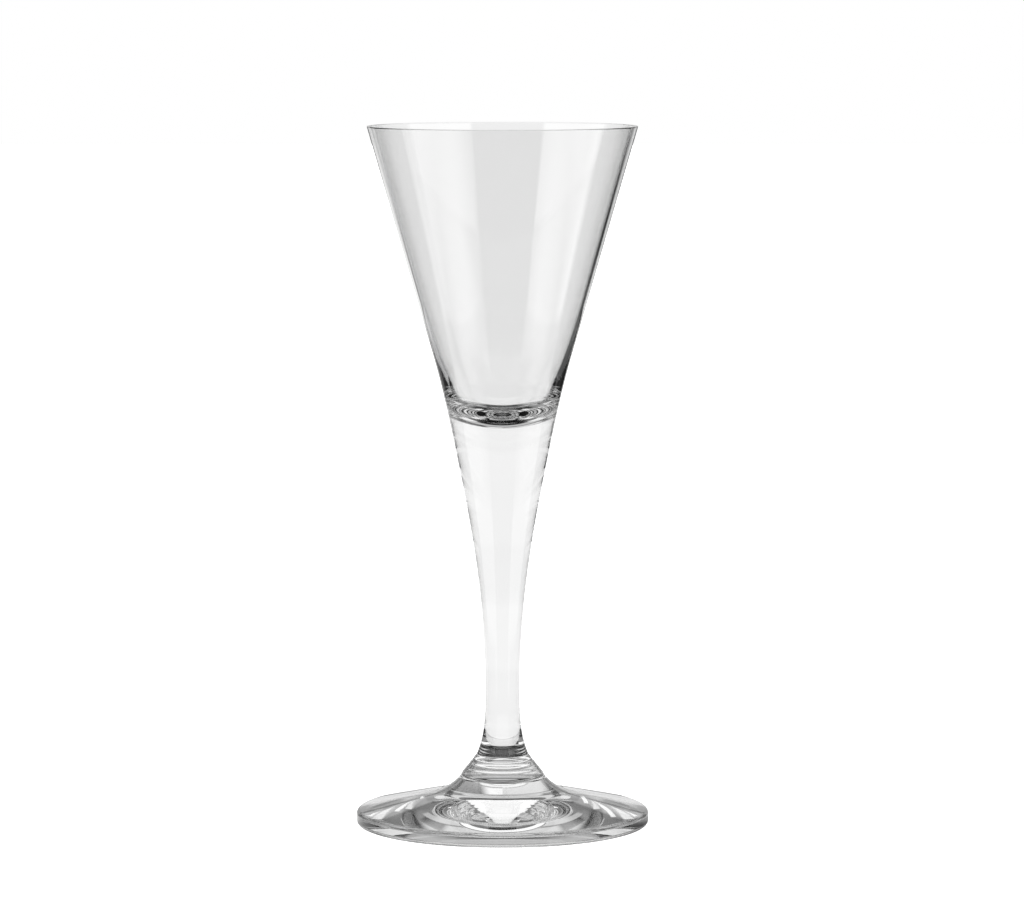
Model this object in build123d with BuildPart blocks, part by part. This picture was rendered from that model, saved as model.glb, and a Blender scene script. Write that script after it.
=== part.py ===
"""Cordial glass: a blown trumpet bowl, a solid drawn stem and a spun foot, welded end to end."""
import os
from math import cos, hypot, radians, sin

from build123d import *

os.makedirs("parts", exist_ok=True)

# Lengths that stack up to the height of the glass, in millimetres
foot_height = 9.6
stem_length = 70.4
bowl_height = 64.6

# Outside widths, from the rim down to the foot
rim_diameter = 55.7
shoulder_diameter = 24.3
neck_diameter = 20.26
waist_diameter = 7.06
collar_diameter = 18.0
foot_diameter = 60.6

# Bowl: its wall, the soft bend at the shoulder, the thick heel and the rounded floor inside
wall = 0.9
lip_round_share = 0.12
shoulder_rise = 10.0
bend_length = 7.0
bend_tightness = 0.65
thickening_rise = 28.2
thickening_hold = 6.3
heel_rise = 9.3
heel_thickness = 2.0
heel_slope = 0.42
heel_hold = 3.5
floor_thickness = 3.5
floor_hold = 4.0

# Stem: where the waist stands above the foot, and how far each curve holds its end direction
waist_rise = 17.9
neck_hold = 14.9
waist_upper_hold = 21.6
waist_lower_hold = 14.7
collar_hold = 6.4
collar_angle = 60.4

# Foot: its edge and the sweep down from the collar
foot_edge = 2.9
edge_round = 0.9
foot_slope = 0.225
sweep_width = 5.0
sweep_root_hold = 1.0
sweep_cone_hold = 2.4

# Heights of the two weld planes and of the rim
foot_weld = foot_height
bowl_weld = foot_weld + stem_length
rim_height = bowl_weld + bowl_height

# Radii and slopes that neighbouring pieces share
rim_radius = rim_diameter / 2
shoulder_radius = shoulder_diameter / 2
neck_radius = neck_diameter / 2
waist_radius = waist_diameter / 2
collar_radius = collar_diameter / 2
foot_radius = foot_diameter / 2
bowl_slope = (rim_radius - shoulder_radius) / (bowl_height - shoulder_rise)
neck_slope = (shoulder_radius - neck_radius) / shoulder_rise

# Bowl: a straight cone that bends softly into the neck; inside, its wall thickens down to a heel
shoulder_height = bowl_weld + shoulder_rise
bend_radius = shoulder_radius + bowl_slope * bend_length
bend_top = shoulder_height + bend_length
upper_hold = bend_tightness * bend_length
lower_hold = bend_tightness * shoulder_rise
wall_across = wall * hypot(1, bowl_slope)
lip_radius = rim_radius - wall_across
thickening_height = bowl_weld + thickening_rise
thickening_radius = lip_radius - bowl_slope * (rim_height - thickening_height)
heel_height = bowl_weld + heel_rise
heel_radius = shoulder_radius + bowl_slope * (heel_height - shoulder_height) - heel_thickness
floor_height = bowl_weld + floor_thickness

with BuildPart() as bowl:
    with BuildSketch(Plane.XZ) as bowl_outline:
        with BuildLine():
            Line((0, floor_height), (0, bowl_weld))
            Line((0, bowl_weld), (neck_radius, bowl_weld))
            Bezier(
                (neck_radius, bowl_weld),
                (neck_radius + neck_slope * lower_hold, bowl_weld + lower_hold),
                (bend_radius - bowl_slope * upper_hold, bend_top - upper_hold),
                (bend_radius, bend_top),
            )
            Line((bend_radius, bend_top), (rim_radius, rim_height))
            Line((rim_radius, rim_height), (lip_radius, rim_height))
            Line((lip_radius, rim_height), (thickening_radius, thickening_height))
            Bezier(
                (thickening_radius, thickening_height),
                (thickening_radius - bowl_slope * thickening_hold, thickening_height - thickening_hold),
                (heel_radius + heel_slope * thickening_hold, heel_height + thickening_hold),
                (heel_radius, heel_height),
            )
            Bezier(
                (heel_radius, heel_height),
                (heel_radius - heel_slope * heel_hold, heel_height - heel_hold),
                (floor_hold, floor_height),
                (0, floor_height),
            )
        make_face()
        lip_corners = bowl_outline.vertices().group_by(Axis.Y)[-1]
        fillet(lip_corners, radius=lip_round_share * wall)
    revolve(axis=Axis.Z)

# Stem: solid glass drawn down to a waist and spread again into the collar that meets the foot
waist_height = foot_weld + waist_rise
collar_run = collar_hold * cos(radians(collar_angle))
collar_climb = collar_hold * sin(radians(collar_angle))

with BuildPart() as stem:
    with BuildSketch(Plane.XZ):
        with BuildLine():
            Line((0, bowl_weld), (0, foot_weld))
            Line((0, foot_weld), (collar_radius, foot_weld))
            Bezier(
                (collar_radius, foot_weld),
                (collar_radius - collar_run, foot_weld + collar_climb),
                (waist_radius, waist_height - waist_lower_hold),
                (waist_radius, waist_height),
            )
            Bezier(
                (waist_radius, waist_height),
                (waist_radius, waist_height + waist_upper_hold),
                (neck_radius - neck_slope * neck_hold, bowl_weld - neck_hold),
                (neck_radius, bowl_weld),
            )
            Line((neck_radius, bowl_weld), (0, bowl_weld))
        make_face()
    revolve(axis=Axis.Z)

# Foot: a spun disc with a conical top, a fire-polished edge and a flat underside to stand on
sweep_radius = collar_radius + sweep_width
sweep_height = foot_edge + foot_slope * (foot_radius - sweep_radius)

with BuildPart() as foot:
    with BuildSketch(Plane.XZ) as foot_outline:
        with BuildLine():
            Line((0, 0), (0, foot_weld))
            Line((0, foot_weld), (collar_radius, foot_weld))
            Bezier(
                (collar_radius, foot_weld),
                (collar_radius + sweep_root_hold, foot_weld - sweep_root_hold),
                (sweep_radius - sweep_cone_hold, sweep_height + foot_slope * sweep_cone_hold),
                (sweep_radius, sweep_height),
            )
            Line((sweep_radius, sweep_height), (foot_radius, foot_edge))
            Line((foot_radius, foot_edge), (foot_radius, 0))
            Line((foot_radius, 0), (0, 0))
        make_face()
        edge_corners = foot_outline.vertices().group_by(Axis.X)[-1]
        fillet(edge_corners, radius=edge_round)
    revolve(axis=Axis.Z)

# Each piece goes out under its own name, already standing in place
bowl.part.label = "bowl"
stem.part.label = "stem"
foot.part.label = "foot"
export_step(bowl.part, "parts/bowl.step")
export_step(stem.part, "parts/stem.step")
export_step(foot.part, "parts/foot.step")
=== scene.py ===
"""A clear cordial glass: blown bowl, solid stem and spun foot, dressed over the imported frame."""
from math import atan, cos, hypot, pi, radians, sin, tan

import bpy
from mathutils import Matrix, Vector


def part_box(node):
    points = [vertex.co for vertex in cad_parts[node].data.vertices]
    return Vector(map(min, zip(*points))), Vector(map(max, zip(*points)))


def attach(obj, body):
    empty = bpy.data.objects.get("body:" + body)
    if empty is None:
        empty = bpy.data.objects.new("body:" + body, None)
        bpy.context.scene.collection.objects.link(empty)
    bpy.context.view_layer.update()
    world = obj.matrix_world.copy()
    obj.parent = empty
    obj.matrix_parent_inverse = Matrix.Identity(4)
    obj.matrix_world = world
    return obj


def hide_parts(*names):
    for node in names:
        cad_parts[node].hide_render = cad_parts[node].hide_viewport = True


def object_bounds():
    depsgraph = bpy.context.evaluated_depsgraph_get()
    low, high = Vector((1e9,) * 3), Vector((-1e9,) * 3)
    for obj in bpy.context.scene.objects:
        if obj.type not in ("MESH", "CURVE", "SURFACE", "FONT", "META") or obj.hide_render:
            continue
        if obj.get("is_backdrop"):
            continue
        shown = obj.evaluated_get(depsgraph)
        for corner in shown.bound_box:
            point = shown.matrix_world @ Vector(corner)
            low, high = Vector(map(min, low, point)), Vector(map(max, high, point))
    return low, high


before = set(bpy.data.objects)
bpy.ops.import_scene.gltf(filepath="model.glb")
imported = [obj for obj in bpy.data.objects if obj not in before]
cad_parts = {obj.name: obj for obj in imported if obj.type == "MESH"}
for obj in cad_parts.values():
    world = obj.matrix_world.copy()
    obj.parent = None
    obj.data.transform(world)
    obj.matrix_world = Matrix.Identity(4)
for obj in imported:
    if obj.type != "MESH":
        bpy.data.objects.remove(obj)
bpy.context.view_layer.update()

# Bowl
# A straight cone of clear crystal, blown thin and left thick at its rounded floor.
# Its rim is cut level and fire-polished, and its base is welded hot to the stem.
mm = 0.001
bowl_low, bowl_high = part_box("bowl")
bowl_weld = bowl_low.z
rim_height = bowl_high.z
rim_radius = 27.85 * mm
wall = 0.9 * mm
lip_round = 0.12 * wall
shoulder_radius = 12.15 * mm
shoulder_height = bowl_weld + 10.0 * mm
neck_radius = 10.13 * mm
bend_length = 7.0 * mm
bend_tightness = 0.65
thickening_height = bowl_weld + 28.2 * mm
heel_height = bowl_weld + 9.3 * mm
heel_thickness = 2.0 * mm
heel_slope = 0.42
heel_hold = 3.5 * mm
floor_height = bowl_weld + 3.5 * mm
floor_hold = 4.0 * mm

bowl_slope = (rim_radius - shoulder_radius) / (rim_height - shoulder_height)
neck_slope = (shoulder_radius - neck_radius) / (shoulder_height - bowl_weld)


def turned(name, outline, steps, rows):
    """Draws half a section as a Bezier curve, makes it a mesh and spins it once round the axis."""
    merge_distance = 0.002 * mm
    straight_angle = radians(0.02)
    smooth_angle = radians(30)
    bpy.ops.object.select_all(action="DESELECT")
    bpy.ops.curve.primitive_bezier_curve_add(location=(0, 0, 0))
    curve = bpy.context.object
    curve.data.dimensions = "3D"
    curve.data.resolution_u = rows
    knots = curve.data.splines[0].bezier_points
    knots.add(len(outline) - len(knots))
    for knot, (before, place, after) in zip(knots, outline):
        knot.handle_left_type = "FREE"
        knot.handle_right_type = "FREE"
        knot.handle_left = (before[0], 0, before[1])
        knot.co = (place[0], 0, place[1])
        knot.handle_right = (after[0], 0, after[1])
    bpy.ops.object.convert(target="MESH")
    piece = bpy.context.object
    piece.name = name
    piece.data.name = name
    bpy.ops.object.mode_set(mode="EDIT")
    bpy.ops.mesh.select_all(action="SELECT")
    bpy.ops.mesh.remove_doubles(threshold=merge_distance)
    bpy.ops.mesh.dissolve_limited(angle_limit=straight_angle)
    bpy.ops.mesh.spin(steps=steps, angle=2 * pi, center=(0, 0, 0), axis=(0, 0, 1))
    bpy.ops.mesh.select_all(action="SELECT")
    bpy.ops.mesh.remove_doubles(threshold=merge_distance)
    bpy.ops.mesh.normals_make_consistent(inside=False)
    bpy.ops.object.mode_set(mode="OBJECT")
    bpy.ops.object.shade_smooth_by_angle(angle=smooth_angle)
    return piece


def chain(*stretches):
    """Joins lines (two points) and cubic curves (four points) end to end into Bezier knots."""
    curves = []
    for points in stretches:
        if len(points) == 2:
            a, b = points
            points = (
                a,
                (a[0] + (b[0] - a[0]) / 3, a[1] + (b[1] - a[1]) / 3),
                (b[0] - (b[0] - a[0]) / 3, b[1] - (b[1] - a[1]) / 3),
                b,
            )
        curves.append(points)
    knots = [(curves[0][0], curves[0][0], curves[0][1])]
    for this, following in zip(curves, curves[1:]):
        knots.append((this[2], this[3], following[1]))
    knots.append((curves[-1][2], curves[-1][3], curves[-1][3]))
    return knots


def rounded(start, corner, end):
    """A curve from start to end that turns round a corner between them."""
    share = 0.6
    return (
        start,
        (start[0] + share * (corner[0] - start[0]), start[1] + share * (corner[1] - start[1])),
        (end[0] + share * (corner[0] - end[0]), end[1] + share * (corner[1] - end[1])),
        end,
    )


wall_across = wall * hypot(1, bowl_slope)
lip_radius = rim_radius - wall_across
thickening_radius = lip_radius - bowl_slope * (rim_height - thickening_height)
heel_radius = shoulder_radius + bowl_slope * (heel_height - shoulder_height) - heel_thickness
thickening_hold = (thickening_height - heel_height) / 3
bend_radius = shoulder_radius + bowl_slope * bend_length
bend_top = shoulder_height + bend_length
lower_hold = bend_tightness * (shoulder_height - bowl_weld)
upper_hold = bend_tightness * bend_length

lean = atan(bowl_slope)
outer_set = lip_round / tan((pi / 2 - lean) / 2)
inner_set = lip_round / tan((pi / 2 + lean) / 2)
lip_inside = (lip_radius - inner_set * sin(lean), rim_height - inner_set * cos(lean))
lip_outside = (rim_radius - outer_set * sin(lean), rim_height - outer_set * cos(lean))
lip_inside_top = (lip_radius + inner_set, rim_height)
lip_outside_top = (rim_radius - outer_set, rim_height)

bowl_outline = chain(
    (
        (0, floor_height),
        (floor_hold, floor_height),
        (heel_radius - heel_slope * heel_hold, heel_height - heel_hold),
        (heel_radius, heel_height),
    ),
    (
        (heel_radius, heel_height),
        (heel_radius + heel_slope * thickening_hold, heel_height + thickening_hold),
        (thickening_radius - bowl_slope * thickening_hold, thickening_height - thickening_hold),
        (thickening_radius, thickening_height),
    ),
    ((thickening_radius, thickening_height), lip_inside),
    rounded(lip_inside, (lip_radius, rim_height), lip_inside_top),
    (lip_inside_top, lip_outside_top),
    rounded(lip_outside_top, (rim_radius, rim_height), lip_outside),
    (lip_outside, (bend_radius, bend_top)),
    (
        (bend_radius, bend_top),
        (bend_radius - bowl_slope * upper_hold, bend_top - upper_hold),
        (neck_radius + neck_slope * lower_hold, bowl_weld + lower_hold),
        (neck_radius, bowl_weld),
    ),
    ((neck_radius, bowl_weld), (0, bowl_weld)),
)
bowl = turned("bowl_glass_blown", bowl_outline, steps=256, rows=24)

# The flame's polish leaves slight swirls in the glass, drawn out along the axis
swirl_stretch = (1, 1, 0.35)
greyer_tint = (0.961, 0.962, 0.961, 1)
clearer_tint = (0.965, 0.965, 0.965, 1)
fire_polish = bpy.data.node_groups.new("fire_polish", "ShaderNodeTree")
fire_polish.interface.new_socket("Size", in_out="INPUT", socket_type="NodeSocketFloat")
fire_polish.interface.new_socket("Tint", in_out="OUTPUT", socket_type="NodeSocketColor")
fire_polish.interface.new_socket("Ripple", in_out="OUTPUT", socket_type="NodeSocketFloat")
nodes = fire_polish.nodes
links = fire_polish.links
given = nodes.new("NodeGroupInput")
result = nodes.new("NodeGroupOutput")
place = nodes.new("ShaderNodeTexCoord")
drawn = nodes.new("ShaderNodeMapping")
drawn.inputs["Scale"].default_value = swirl_stretch
swirl = nodes.new("ShaderNodeTexNoise")
swirl.inputs["Detail"].default_value = 1.0
melt = nodes.new("ShaderNodeValToRGB")
melt.color_ramp.elements[0].position = 0.3
melt.color_ramp.elements[0].color = greyer_tint
melt.color_ramp.elements[1].position = 0.7
melt.color_ramp.elements[1].color = clearer_tint
links.new(place.outputs["Object"], drawn.inputs["Vector"])
links.new(drawn.outputs["Vector"], swirl.inputs["Vector"])
links.new(given.outputs["Size"], swirl.inputs["Scale"])
links.new(swirl.outputs["Fac"], melt.inputs["Fac"])
links.new(melt.outputs["Color"], result.inputs["Tint"])
links.new(swirl.outputs["Fac"], result.inputs["Ripple"])


def crystal(name, swirls_per_metre):
    """Clear crystal, with the slight swirls in tint and surface that the flame leaves."""
    crystal_index = 1.6
    ripple_strength = 0.1
    ripple_depth = 0.05 * mm
    glass = bpy.data.materials.new(name)
    glass.use_nodes = True
    nodes = glass.node_tree.nodes
    links = glass.node_tree.links
    shader = nodes["Principled BSDF"]
    shader.inputs["Roughness"].default_value = 0.0
    shader.inputs["IOR"].default_value = crystal_index
    shader.inputs["Transmission Weight"].default_value = 1.0
    polish = nodes.new("ShaderNodeGroup")
    polish.node_tree = fire_polish
    polish.inputs["Size"].default_value = swirls_per_metre
    bump = nodes.new("ShaderNodeBump")
    bump.inputs["Strength"].default_value = ripple_strength
    bump.inputs["Distance"].default_value = ripple_depth
    links.new(polish.outputs["Tint"], shader.inputs["Base Color"])
    links.new(polish.outputs["Ripple"], bump.inputs["Height"])
    links.new(bump.outputs["Normal"], shader.inputs["Normal"])
    return glass


# A weld leaves no line in the glass, so the faces that meet there are wholly see-through
weld = bpy.data.materials.new("hot_weld")
weld.use_nodes = True
shader = weld.node_tree.nodes["Principled BSDF"]
shader.inputs["Base Color"].default_value = (1, 1, 1, 1)
shader.inputs["Alpha"].default_value = 0.0


def glaze(piece, glass, welds):
    """Gives a piece its glass, and the see-through weld where a face lies in a weld plane."""
    nearness = 0.01 * mm
    piece.data.materials.append(glass)
    piece.data.materials.append(weld)
    for face in piece.data.polygons:
        if any(abs(face.center.z - height) < nearness for height in welds):
            face.material_index = 1


glaze(bowl, crystal("blown_crystal", swirls_per_metre=70), [bowl_weld])
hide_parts("bowl")
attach(bowl, "root")

# Stem
# A solid rod of the same crystal, drawn out hot to a waist while it still hung from the bowl.
# Its wide foot end is a collar with shallow rings from the shaping, welded on to the foot.
foot_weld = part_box("stem")[0].z
waist_radius = 3.53 * mm
waist_height = foot_weld + 17.9 * mm
collar_radius = 9.0 * mm
neck_hold = 14.9 * mm
waist_upper_hold = 21.6 * mm
waist_lower_hold = 14.7 * mm
collar_hold = 6.4 * mm
collar_angle = radians(60.4)
ring_places = (0.526, 0.571, 0.639, 0.68, 0.739, 0.805, 0.848, 0.88, 0.951, 0.982)
ring_tilt = radians(7)


def ringed(a, b, c, d, places, tilt):
    """Cuts a cubic curve at places along it, each tilted to or fro, so that rings stand out there."""
    cuts = []
    for number, along in enumerate((0, *places, 1)):
        back = 1 - along
        place = [
            back ** 3 * a[i]
            + 3 * along * back ** 2 * b[i]
            + 3 * along ** 2 * back * c[i]
            + along ** 3 * d[i]
            for i in (0, 1)
        ]
        run, rise = [
            3 * back ** 2 * (b[i] - a[i])
            + 6 * along * back * (c[i] - b[i])
            + 3 * along ** 2 * (d[i] - c[i])
            for i in (0, 1)
        ]
        turn = 0 if along in (0, 1) else tilt * (-1) ** number
        heading = (run * cos(turn) - rise * sin(turn), run * sin(turn) + rise * cos(turn))
        cuts.append((along, place, heading))
    curves = []
    for (start, place, heading), (end, far, far_heading) in zip(cuts, cuts[1:]):
        third = (end - start) / 3
        curves.append((
            place,
            (place[0] + third * heading[0], place[1] + third * heading[1]),
            (far[0] - third * far_heading[0], far[1] - third * far_heading[1]),
            far,
        ))
    return curves


stem_outline = chain(
    ((0, bowl_weld), (neck_radius, bowl_weld)),
    (
        (neck_radius, bowl_weld),
        (neck_radius - neck_slope * neck_hold, bowl_weld - neck_hold),
        (waist_radius, waist_height + waist_upper_hold),
        (waist_radius, waist_height),
    ),
    *ringed(
        (waist_radius, waist_height),
        (waist_radius, waist_height - waist_lower_hold),
        (
            collar_radius - collar_hold * cos(collar_angle),
            foot_weld + collar_hold * sin(collar_angle),
        ),
        (collar_radius, foot_weld),
        ring_places,
        ring_tilt,
    ),
    ((collar_radius, foot_weld), (0, foot_weld)),
)
stem = turned("stem_glass_drawn", stem_outline, steps=192, rows=24)
glaze(stem, crystal("drawn_crystal", swirls_per_metre=110), [bowl_weld, foot_weld])
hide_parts("stem")
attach(stem, "root")

# Foot
# A disc of the same crystal, spun flat while soft, so its top falls away in a shallow cone.
# Its edge is fire-polished round, and its flat underside stands on the table.
table_height = 0
foot_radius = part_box("foot")[1].x
foot_edge = 2.9 * mm
edge_round = 0.9 * mm
foot_slope = 0.225
sweep_radius = collar_radius + 5.0 * mm
sweep_root_hold = 1.0 * mm
sweep_cone_hold = 2.4 * mm

sweep_height = foot_edge + foot_slope * (foot_radius - sweep_radius)
fall = atan(foot_slope)
edge_set = edge_round * tan((pi / 2 - fall) / 2)
edge_top = (foot_radius - edge_set * cos(fall), foot_edge + edge_set * sin(fall))
edge_upper = (foot_radius, foot_edge - edge_set)
edge_lower = (foot_radius, edge_round)
edge_under = (foot_radius - edge_round, table_height)

foot_outline = chain(
    ((0, foot_weld), (collar_radius, foot_weld)),
    (
        (collar_radius, foot_weld),
        (collar_radius + sweep_root_hold, foot_weld - sweep_root_hold),
        (sweep_radius - sweep_cone_hold, sweep_height + foot_slope * sweep_cone_hold),
        (sweep_radius, sweep_height),
    ),
    ((sweep_radius, sweep_height), edge_top),
    rounded(edge_top, (foot_radius, foot_edge), edge_upper),
    (edge_upper, edge_lower),
    rounded(edge_lower, (foot_radius, table_height), edge_under),
    (edge_under, (0, table_height)),
)
foot = turned("foot_glass_spun", foot_outline, steps=256, rows=32)
glaze(foot, crystal("spun_crystal", swirls_per_metre=90), [foot_weld])
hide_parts("foot")
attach(foot, "root")

# Floor
# A wide sheet of pale paper under the glass, so bright that it shows plain white.
# It shines to the camera alone: the glass doesn't mirror it, and sees the studio's light instead.
floor_width = 8
floor_drop = 0.02 * mm
bpy.ops.object.select_all(action="DESELECT")
bpy.ops.mesh.primitive_plane_add(size=floor_width, location=(0, 0, -floor_drop))
floor = bpy.context.object
floor.name = "pale_floor"
paper = bpy.data.materials.new("pale_paper")
paper.use_nodes = True
nodes = paper.node_tree.nodes
links = paper.node_tree.links
shader = nodes["Principled BSDF"]
shader.inputs["Base Color"].default_value = (0.9, 0.9, 0.9, 1)
shader.inputs["Roughness"].default_value = 1.0
shader.inputs["Emission Color"].default_value = (1, 1, 1, 1)
path = nodes.new("ShaderNodeLightPath")
links.new(path.outputs["Is Camera Ray"], shader.inputs["Emission Strength"])
floor.data.materials.append(paper)
floor.visible_glossy = False
floor.visible_transmission = False
floor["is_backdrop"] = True

# Studio light
# Panels stand left and right of the camera with a dark gap between, and cards stand lower and behind.
# They show only where the glass mirrors them: light that isn't mirrored comes from white all round.
backdrop_level = 1.0
panel_slant = 0.17
world = bpy.data.worlds.new("studio")
bpy.context.scene.world = world
world.use_nodes = True
nodes = world.node_tree.nodes
links = world.node_tree.links


def value(operation, first, second=None):
    """A maths node on sockets or plain numbers."""
    node = nodes.new("ShaderNodeMath")
    node.operation = operation
    for socket, given in zip(node.inputs, (first, second)):
        if isinstance(given, bpy.types.NodeSocket):
            links.new(given, socket)
        elif given is not None:
            socket.default_value = given
    return node.outputs[0]


def between(angle, low, high, soft):
    """One between two angles in degrees, fading to nothing over a soft border."""
    rise = nodes.new("ShaderNodeMapRange")
    rise.interpolation_type = "SMOOTHSTEP"
    rise.inputs["From Min"].default_value = radians(low - soft)
    rise.inputs["From Max"].default_value = radians(low + soft)
    links.new(angle, rise.inputs["Value"])
    fall = nodes.new("ShaderNodeMapRange")
    fall.interpolation_type = "SMOOTHSTEP"
    fall.inputs["From Min"].default_value = radians(high + soft)
    fall.inputs["From Max"].default_value = radians(high - soft)
    links.new(angle, fall.inputs["Value"])
    return value("MULTIPLY", rise.outputs[0], fall.outputs[0])


# Directions from the glass: turn is 0 toward the camera and grows to the right, round_back is the same
# on both sides, and climb is the angle above level. A panel set by slant sinks as it goes round.
place = nodes.new("ShaderNodeTexCoord")
split = nodes.new("ShaderNodeSeparateXYZ")
links.new(place.outputs["Generated"], split.inputs[0])
toward = value("MULTIPLY", split.outputs["Y"], -1)
turn = value("ARCTAN2", split.outputs["X"], toward)
round_back = value("ABSOLUTE", turn)
climb = value("ARCSINE", split.outputs["Z"])
slant = value("ADD", climb, value("MULTIPLY", round_back, panel_slant))

# Each panel or card: its spread round the glass with a soft border, its spread upward with a soft
# border, all in degrees, and its level. Where two overlap, the brighter one shows.
sources = [
    # Bright upper panels left and right, and the dimmer ceiling over them
    (turn, -108, -40, 1.5, slant, 31.0, 38.5, 0.8, 1.25),
    (turn, 30, 96, 1.5, slant, 31.0, 38.5, 0.8, 1.25),
    (round_back, -10, 100, 6, slant, 38, 130, 1.5, 0.45),
    # Soft low cards left and right, crisper panels above those, and the dim gap between them in front
    (turn, -80, -42, 12, climb, -38, -29, 4, 0.7),
    (turn, 44, 84, 12, climb, -38, -29, 4, 0.7),
    (turn, -100, -36, 1.5, climb, -27, -13, 2, 1.0),
    (turn, 36, 100, 1.5, climb, -27, -13, 2, 1.0),
    (round_back, 36, 49, 2, climb, -14, -7, 2, 0.8),
    (round_back, -10, 36, 2, climb, -24, -8, 2, 0.2),
    # Grey walls near level, and a bright glow straight in front
    (round_back, -10, 138, 4, climb, -13, 20, 2, 0.3),
    (round_back, 40, 138, 4, climb, 10, 30, 2, 0.3),
    (round_back, -10, 40, 9, climb, -3, 18, 2, 0.85),
    # Behind, near level: dark to each side, paler in the middle, and a bright strip just below
    (round_back, 140, 156, 3, climb, -3, 13, 1, 0.15),
    (round_back, 156, 200, 3, climb, -3, 13, 1, 0.7),
    (turn, 118, 200, 4, climb, -10, -5, 1, 0.95),
    (turn, -200, -118, 4, climb, -11, -5, 1, 0.95),
    # Low behind: a bright card and a dark one on the right, a grey one on the left, dim at both sides
    (turn, 169, 200, 4, climb, -30, -12, 1, 1.0),
    (turn, 146, 166, 4, climb, -30, -12, 1, 0.12),
    (turn, -200, -145, 8, climb, -30, -12, 1, 0.7),
    (round_back, 100, 144, 4, climb, -30, -13, 2, 0.14),
    # Behind, a pale band and the bright ceiling; a half-lit part steeply down; the dim ground below
    (round_back, 130, 200, 4, climb, 14, 22, 1, 0.65),
    (round_back, 94, 200, 3, climb, 31, 100, 1.5, 1.1),
    (round_back, 100, 200, 4, climb, -56, -36, 4, 0.55),
    (round_back, -10, 200, 4, climb, -100, -70, 5, 0.12),
]
light = 0.0
for angle, left, right, side_soft, rise, low, high, end_soft, level in sources:
    across = between(angle, left, right, side_soft)
    upward = between(rise, low, high, end_soft)
    lit = value("MULTIPLY", across, upward)
    light = value("MAXIMUM", light, value("MULTIPLY", lit, level))
path = nodes.new("ShaderNodeLightPath")
times_mirrored = path.outputs["Glossy Depth"]
mirrored = value("GREATER_THAN", times_mirrored, 0.5)
mix = nodes.new("ShaderNodeMix")
mix.data_type = "FLOAT"
links.new(mirrored, mix.inputs[0])
mix.inputs[2].default_value = backdrop_level
links.new(light, mix.inputs[3])
links.new(mix.outputs[0], nodes["Background"].inputs["Strength"])
nodes["Background"].inputs["Color"].default_value = (1, 1, 1, 1)

# Plain colours, and how often light may turn inside the glass before it is given up
scene = bpy.context.scene
scene.view_settings.view_transform = "Standard"
scene.cycles.max_bounces = 24
scene.cycles.transmission_bounces = 24
scene.cycles.glossy_bounces = 12
scene.cycles.transparent_max_bounces = 32

# Camera
# A long lens a metre in front of the glass and a little above its rim.
# It is tipped down and swung very slightly to the right, to frame the glass as the photograph does.
camera_distance = 0.995
camera_height = 0.1757
tip_degrees = 5.665
swing_degrees = 0.113
lens_data = bpy.data.cameras.new("view")
lens_data.lens = 170.3
lens_data.sensor_width = 36
lens_data.clip_end = 100
camera = bpy.data.objects.new("view", lens_data)
scene.collection.objects.link(camera)
camera.location = (0, -camera_distance, camera_height)
camera.rotation_euler = (radians(90 - tip_degrees), 0, radians(-swing_degrees))
scene.camera = camera

low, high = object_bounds()
